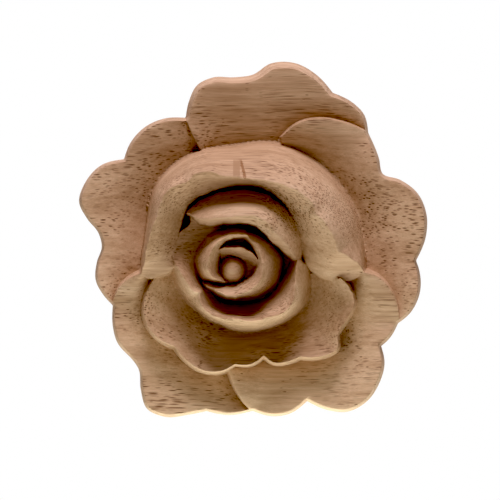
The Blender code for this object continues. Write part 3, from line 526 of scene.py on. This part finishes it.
def seedOutline(seeds, outline):
    rim = evenly(outline, net["edge"] * net["rimShare"], closed=True)
    count = len(rim)
    seeds.addLine(list(rim[:, :2]) + [rim[0, :2]], [True] * (count + 1))
    along = numpy.roll(rim[:, :2], -1, axis=0) - numpy.roll(rim[:, :2], 1, axis=0)
    inward = numpy.column_stack([-along[:, 1], along[:, 0]])
    inward /= numpy.linalg.norm(inward, axis=1)[:, None]
    width = rim[:, 2] / bevelSlope(rim[:, :2])
    for share in net["bevelRows"]:
        row = rim[:, :2] + inward * (share * width)[:, None]
        keep = distanceTo(row, rim) > net["bevelClear"] * share * width
        if share == 1:
            seeds.addLine(list(row) + [row[0]], list(keep) + [keep[0]])
        else:
            seeds.addRow(row[keep])
    return count


def seedBand(seeds, bandIndex, band, heightsOf, outline):
    for name in ("outer", "inner"):
        curve = evenly(band[name], net["edge"])
        points, heights = curve[:, :2], curve[:, 2]
        normals = outwards(curve, band["ring"])
        clear = distanceTo(points, outline) > edges["outlineClear"]
        shows = (heightsOf(points) < heights + edges["hidden"]) & clear
        seeds.addLine(points, shows)
        for gap in net["insideRows"]:
            row = points - gap * normals
            away = distanceTo(row, band["ring"])
            seeds.addRow(row[shows & inside(row, band["ring"]) & (away > net["insideClear"] * gap)])
        away = numpy.full(len(points), edges["firstWidth"])
        for _ in range(edges["rounds"]):
            beside = heightsOf(points + away[:, None] * normals, bandIndex)
            away = 0.5 * away + 0.5 * numpy.clip((heights - beside) / band["wall"], 0, edges["widest"])
        foot = points + away[:, None] * normals
        stepped = shows & (heights - beside > edges["least"])
        stepped &= (distanceTo(foot, outline) > edges["outlineClear"]) & ~inside(foot, band["ring"])
        wide = numpy.maximum(away, net["rowMerge"])
        seeds.addLine(points + wide[:, None] * normals, stepped)
        for share in net["wallRows"]:
            seeds.addRow((points + (share * wide)[:, None] * normals)[stepped & (wide > edges["wide"])])
        for point in (points + (wide + net["beyondFoot"])[:, None] * normals)[stepped]:
            seeds.add(point, net["footMerge"])


def seedFill(seeds, outline):
    golden = math.pi * (3 - math.sqrt(5))
    heart, beyond = net["heart"], net["beyond"]
    for start, end, gap in ((0, heart, net["fillHeart"]), (heart, beyond, net["fillOuter"])):
        pitch = gap * net["fillPitch"]
        numbers = numpy.arange(int((start / pitch) ** 2 * math.pi), int((end / pitch) ** 2 * math.pi))
        radius = pitch * numpy.sqrt(numbers / math.pi)
        turn = numbers * golden
        points = numpy.column_stack([radius * numpy.cos(turn), radius * numpy.sin(turn)])
        points = points[inside(points, outline)]
        for point in points[distanceTo(points, outline) > net["fillClear"]]:
            seeds.add(point, net["fillMerge"] * gap)


def carveRose():
    layers = makeLayers()
    bands = [band for bands, _ in layers for band in bands]
    runs = [petal["outline"] for petal in (rightPetal, topPetal, leftPetal, lowerLeftPetal, lowerRightPetal)]
    outline = joinRuns([run for runs in runs for run in runs], net["curve"])[:-1]

    def heightsOf(points, leftOut=None):
        height = floorHeight(points)
        for index, band in enumerate(bands):
            if index != leftOut:
                height = numpy.maximum(height, bandHeight(band, points))
        return height

    seeds = Seeds()
    rimCount = seedOutline(seeds, outline)
    for index, band in enumerate(bands):
        seedBand(seeds, index, band, heightsOf, outline)
    print("edges seeded,", len(seeds.points), "points")
    seedFill(seeds, outline)
    print("surface seeded,", len(seeds.points), "points")
    seedVectors = [Vector(point) for point in seeds.points]
    plane = delaunay_2d_cdt(seedVectors, sorted(seeds.lines), [], 0, net["tolerance"])
    points = numpy.array([tuple(point) for point in plane[0]])
    triangles = numpy.array(plane[2])
    triangles = triangles[inside(points[triangles].mean(axis=1), points[:rimCount])]
    print("net spun,", len(triangles), "triangles")
    heights = carvedHeight(points, layers, outline)
    within = numpy.clip(distanceTo(points, outline) - carving["evenRim"], 0, 1)
    heights += unevenness(points) * within
    heights[:rimCount] = 0
    middle = (outline[:, :2].min(axis=0) + outline[:, :2].max(axis=0)) / 2
    corners = numpy.column_stack([points[:, 0] - middle[0], -heights, points[:, 1] - middle[1]]) * mm
    faces = [tuple(int(corner) for corner in triangle) for triangle in triangles]
    mesh = bpy.data.meshes.new("carvedRose")
    mesh.from_pydata([tuple(corner) for corner in corners], [], faces)
    rose = bpy.data.objects.new("carvedRose", mesh)
    bpy.context.scene.collection.objects.link(rose)
    return rose


def finishRose(rose):
    bpy.ops.object.select_all(action="DESELECT")
    bpy.context.view_layer.objects.active = rose
    rose.select_set(True)
    bpy.ops.object.mode_set(mode="EDIT")
    bpy.ops.mesh.select_mode(type="EDGE")
    bpy.ops.mesh.select_all(action="DESELECT")
    bpy.ops.mesh.select_non_manifold()  # the open edge of the carving, which lies on the back's plane
    bpy.ops.mesh.edge_face_add()
    bpy.ops.mesh.select_all(action="SELECT")
    bpy.ops.mesh.normals_make_consistent(inside=False)
    bpy.ops.mesh.quads_convert_to_tris()
    bpy.ops.object.mode_set(mode="OBJECT")
    bpy.ops.object.shade_smooth_by_angle(angle=math.radians(net["smoothAngle"]))
    print("rose closed,", len(rose.data.polygons), "faces")


rose = carveRose()
finishRose(rose)
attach(rose, "root")
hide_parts("carved_rose")


class Wire:  # one output socket, with the sums of a shader written as Python's own
    def __init__(self, tree, socket):
        self.tree, self.socket = tree, socket

    def math(self, operation, other=None, first=None):
        node = self.tree.nodes.new("ShaderNodeMath")
        node.operation = operation
        values = [self if first is None else first, other if first is None else self]
        for place, value in enumerate(values):
            plug(self.tree, node.inputs[place], value)
        return Wire(self.tree, node.outputs[0])

    def __add__(self, other):
        return self.math("ADD", other)

    def __radd__(self, other):
        return self.math("ADD", first=other)

    def __sub__(self, other):
        return self.math("SUBTRACT", other)

    def __rsub__(self, other):
        return self.math("SUBTRACT", first=other)

    def __mul__(self, other):
        return self.math("MULTIPLY", other)

    def __rmul__(self, other):
        return self.math("MULTIPLY", first=other)

    def __truediv__(self, other):
        return self.math("DIVIDE", other)

    def __pow__(self, other):
        return self.math("POWER", other)


def plug(tree, socket, value):
    if isinstance(value, Wire):
        tree.links.new(value.socket, socket)
    elif value is not None:
        socket.default_value = value


class Bench:  # makes the nodes of one material, or of the world
    def __init__(self, name=None, tree=None):
        self.tree = tree
        if tree is None:
            self.material = bpy.data.materials.new(name)
            self.material.use_nodes = True
            self.tree = self.material.node_tree
            self.shader = self.tree.nodes["Principled BSDF"]

    def node(self, kind, settings=None, sockets=None, out=0):
        node = self.tree.nodes.new("ShaderNode" + kind)
        for name, value in (settings or {}).items():
            if name == "stops":
                ramp = node.color_ramp
                while len(ramp.elements) < len(value):
                    ramp.elements.new(1)
                for element, (position, colour) in zip(ramp.elements, value):
                    element.position = position
                    element.color = (*colour, 1) if isinstance(colour, tuple) else (colour, colour, colour, 1)
            else:
                setattr(node, name, value)
        for name, value in (sockets or {}).items():
            plug(self.tree, node.inputs[name], value)
        return Wire(self.tree, node.outputs[out])

    def ramp(self, value, stops):
        return self.node("ValToRGB", {"stops": stops}, {"Fac": value})

    def mix(self, share, first, second, blend="MIX"):
        settings = {"data_type": "RGBA", "blend_type": blend}
        return self.node("Mix", settings, {0: share, 6: first, 7: second}, out=2)

    def stretched(self, along, across):  # object coordinates counted in grains: mm along X and across it
        where = self.node("TexCoord", out=3)
        scale = (1 / (along * mm), 1 / (across * mm), 1 / (across * mm))
        return self.node("VectorMath", {"operation": "MULTIPLY"}, {0: where, 1: scale})

    def noise(self, where, detail=2.0, rough=0.5, distortion=0.0):
        sockets = {"Vector": where, "Scale": 1.0, "Detail": detail, "Roughness": rough,
                   "Distortion": distortion}
        return self.node("TexNoise", None, sockets)


rubberwood = {
    "dark": (0.41, 0.275, 0.175), "middle": (0.55, 0.39, 0.265), "light": (0.66, 0.50, 0.35),
    "toneAt": (0.34, 0.5, 0.66),  # where on the noise those three stand
    # mm along and across the grain, then the noise's detail, roughness and distortion
    "broad": (60, 9, 3, 0.55, 0.6), "streaks": (22, 0.9, 4, 0.6), "fibres": (7, 0.16, 3, 0.6),
    "broadShare": 0.55, "streaksShare": 0.45,
    "fibreTone": [(0.3, 0.86), (0.7, 1.08)], "fibreRoughness": 0.12, "fibreHeight": 0.3,
    "roughness": 0.62, "specular": 0.25,
    "pores": [(17, 0.7, 0.29), (9, 0.62, 0.27), (3.6, 1.0, 0.15)],  # mm along and across the grain, and size
    "pore": (0.10, 0.045, 0.02), "poreShare": 0.8, "poreEdge": (0.6, 1.3),  # the edge in shares of the size
    "clusterSize": (2.2, 24), "clusterDetail": 2,  # pores' lengths along, and gaps across
    "clusters": [(0.46, 0.05), (0.62, 1.0)],
    "poreDepth": 0.16, "bump": 0.5,  # mm, and the strength of the relief
}
joint = {  # the seam in the hood's crown where two lengths of board meet, and the filling beside it, in mm
    "top": (-3.6, 22.9), "end": (-2.4, 17.6), "colour": (0.26, 0.14, 0.07),
    "patch": (-5.7, -3.7, 17.8, 22.7),  # left, right, low and high
    "filling": (0.34, 0.22, 0.135), "fillingShare": 0.8,
    "ragged": (0.7, 0.5, 2), "raggedKnot": 0.4, "raggedPatch": 0.1,
    # how strongly each shows; on the way along, 0.25 is the seam's end and 0.75 its top
    "line": [(0.26, 0.85), (0.5, 0.0)],
    "along": [(0.24, 0.0), (0.26, 1.0), (0.74, 1.0), (0.77, 0.0)],
    "knot": [(0.22, 0.35), (0.36, 0.9), (0.6, 0.0)],
    "edge": [(0.42, 1.0), (0.54, 0.0)],
    "front": [(0.38, 0.0), (0.42, 1.0)], "frontScale": -0.02,  # only on the crown, over 20 mm from the back
}


def grain(bench, look):  # noise drawn out along the grain
    along, across, *kind = look
    return bench.noise(bench.stretched(along, across), *kind)


def jointMasks(bench):
    (x0, z0), (x1, z1) = joint["top"], joint["end"]
    left, right, low, high = joint["patch"]
    parts = bench.node("SeparateXYZ", None, {"Vector": bench.stretched(1, 1)}).socket.node
    x, y, z = (Wire(bench.tree, parts.outputs[axis]) for axis in "XYZ")
    ragged = grain(bench, joint["ragged"]) - 0.5
    away = (x - x0 + (z - z0) * ((x0 - x1) / (z0 - z1)) * -1 + ragged).math("ABSOLUTE")
    line = bench.ramp(away, joint["line"])
    along = bench.ramp((z - z1) / (z0 - z1) * 0.5 + 0.25, joint["along"])
    knotAway = ((x - x1) * (x - x1) + (z - z1) * (z - z1)) ** 0.5
    knot = bench.ramp(knotAway + ragged * joint["raggedKnot"], joint["knot"])
    front = bench.ramp(y * joint["frontScale"], joint["front"])
    seam = (line * along).math("MAXIMUM", knot) * front
    acrossX = (x - (left + right) / 2).math("ABSOLUTE") / ((right - left) / 2)
    acrossZ = (z - (low + high) / 2).math("ABSOLUTE") / ((high - low) / 2)
    across = acrossX.math("MAXIMUM", acrossZ) * 0.5 + ragged * joint["raggedPatch"]
    return seam, bench.ramp(across, joint["edge"]) * front


def poreMask(bench):
    pores = None
    along, across = rubberwood["clusterSize"]
    full, gone = rubberwood["poreEdge"]
    for length, gap, size in rubberwood["pores"]:
        sockets = {"Vector": bench.stretched(length, gap), "Scale": 1.0, "Randomness": 1.0}
        cells = bench.node("TexVoronoi", {"feature": "F1"}, sockets)
        crowd = grain(bench, (along * length, across * gap, rubberwood["clusterDetail"]))
        spots = bench.ramp(cells, [(size * full, 1.0), (size * gone, 0.0)])
        spots = spots * bench.ramp(crowd, rubberwood["clusters"])
        pores = spots if pores is None else pores.math("MAXIMUM", spots)
    return pores


def makeRubberwood():
    bench = Bench("rubberwood")
    broad, streaks, fibres = (grain(bench, rubberwood[name]) for name in ("broad", "streaks", "fibres"))
    tone = broad * rubberwood["broadShare"] + streaks * rubberwood["streaksShare"]
    shades = [rubberwood[name] for name in ("dark", "middle", "light")]
    colour = bench.ramp(tone, list(zip(rubberwood["toneAt"], shades)))
    colour = bench.mix(1.0, colour, bench.ramp(fibres, rubberwood["fibreTone"]), "MULTIPLY")
    seam, filling = jointMasks(bench)
    colour = bench.mix(filling * joint["fillingShare"], colour, (*joint["filling"], 1))
    colour = bench.mix(seam, colour, (*joint["colour"], 1))
    pores = poreMask(bench) * (1 - filling)
    colour = bench.mix(pores * rubberwood["poreShare"], colour, (*rubberwood["pore"], 1))
    roughness = rubberwood["roughness"] + rubberwood["fibreRoughness"] * fibres
    relief = {"Strength": rubberwood["bump"], "Distance": rubberwood["poreDepth"] * mm,
              "Height": fibres * rubberwood["fibreHeight"] - pores - seam}
    plug(bench.tree, bench.shader.inputs["Base Color"], colour)
    plug(bench.tree, bench.shader.inputs["Roughness"], roughness)
    plug(bench.tree, bench.shader.inputs["Normal"], bench.node("Bump", None, relief))
    bench.shader.inputs["Specular IOR Level"].default_value = rubberwood["specular"]
    return bench.material


rose.data.materials.clear()
rose.data.materials.append(makeRubberwood())
print("wood finished")


studio = {
    "floorDrop": 0.10, "floorSize": 1.5, "floorForward": 0.28,  # metres
    "floorColour": (0.84, 0.87, 0.80), "floorRoughness": 0.8,
    # brightness of the white tent all round, from straight in front of the carving to straight behind it
    "tent": [(0.0, (0.05, 0.04, 0.03)), (0.16, (0.08, 0.065, 0.05)), (0.34, (0.25, 0.23, 0.21)),
             (0.5, 1.0), (1.0, 0.85)],
    "tentLight": 0.92,
    "tentSides": [(0.35, 1.0), (0.95, 0.4)],  # dimmer straight at the left and right
    "tentTint": [(0.3, (0.92, 1.0, 0.90)), (0.7, (1.0, 0.89, 0.91))],  # from below, and from above
    "top": {"at": (0.0, -0.30, 0.69), "size": 0.34, "watts": 5.5, "tint": (1.0, 0.86, 0.88)},
    "low": {"at": (0.0, 0.0, -0.094), "size": 0.14, "watts": 0.1, "tint": (0.90, 1.0, 0.85)},
    "blackLevel": 0.046,  # deepens the darkest places
}


def makeFloor():
    size = studio["floorSize"]
    bpy.ops.mesh.primitive_plane_add(size=size, location=(0, -studio["floorForward"], -studio["floorDrop"]))
    floor = bpy.context.object
    floor.name = "studioFloor"
    bench = Bench("paleFloor")
    bench.shader.inputs["Base Color"].default_value = (*studio["floorColour"], 1)
    bench.shader.inputs["Roughness"].default_value = studio["floorRoughness"]
    floor.data.materials.append(bench.material)


def makeLamp(name):
    lamp = studio[name]
    bpy.ops.object.light_add(type="AREA", location=lamp["at"])
    light = bpy.context.object
    light.name = name + "Light"
    light.data.shape = "DISK"
    light.data.size = lamp["size"]
    light.data.energy = lamp["watts"]
    light.data.color = lamp["tint"]
    light.visible_camera = False
    light.rotation_euler = (-Vector(lamp["at"])).to_track_quat("-Z", "Y").to_euler()


def makeWorld():  # a white tent with its open side in front, dim there and bright at the sides and behind
    world = bpy.data.worlds.new("studioWorld")
    bpy.context.scene.world = world
    world.use_nodes = True
    bench = Bench(tree=world.node_tree)
    background = world.node_tree.nodes["Background"]
    split = bench.node("SeparateXYZ", None, {"Vector": bench.node("TexCoord")})
    backwards = Wire(bench.tree, split.socket.node.outputs["Y"]) * 0.5 + 0.5
    upwards = Wire(bench.tree, split.socket.node.outputs["Z"]) * 0.5 + 0.5
    glow = bench.ramp(backwards, studio["tent"])
    tint = bench.ramp(upwards, studio["tentTint"])
    seen = bench.node("LightPath")
    sideways = Wire(bench.tree, split.socket.node.outputs["X"]).math("ABSOLUTE")
    sides = bench.ramp(sideways, studio["tentSides"])
    light = bench.mix(1.0, bench.mix(1.0, glow, sides, "MULTIPLY"), tint, "MULTIPLY")
    plug(bench.tree, background.inputs["Color"], bench.mix(seen, light, (1, 1, 1, 1)))
    plug(bench.tree, background.inputs["Strength"], seen + (1 - seen) * studio["tentLight"])


makeFloor()
makeLamp("top")
makeLamp("low")
makeWorld()
view = bpy.context.scene.view_settings
view.view_transform = "Standard"
view.use_curve_mapping = True
view.curve_mapping.black_level = (studio["blackLevel"],) * 3
view.curve_mapping.update()
print("studio ready")
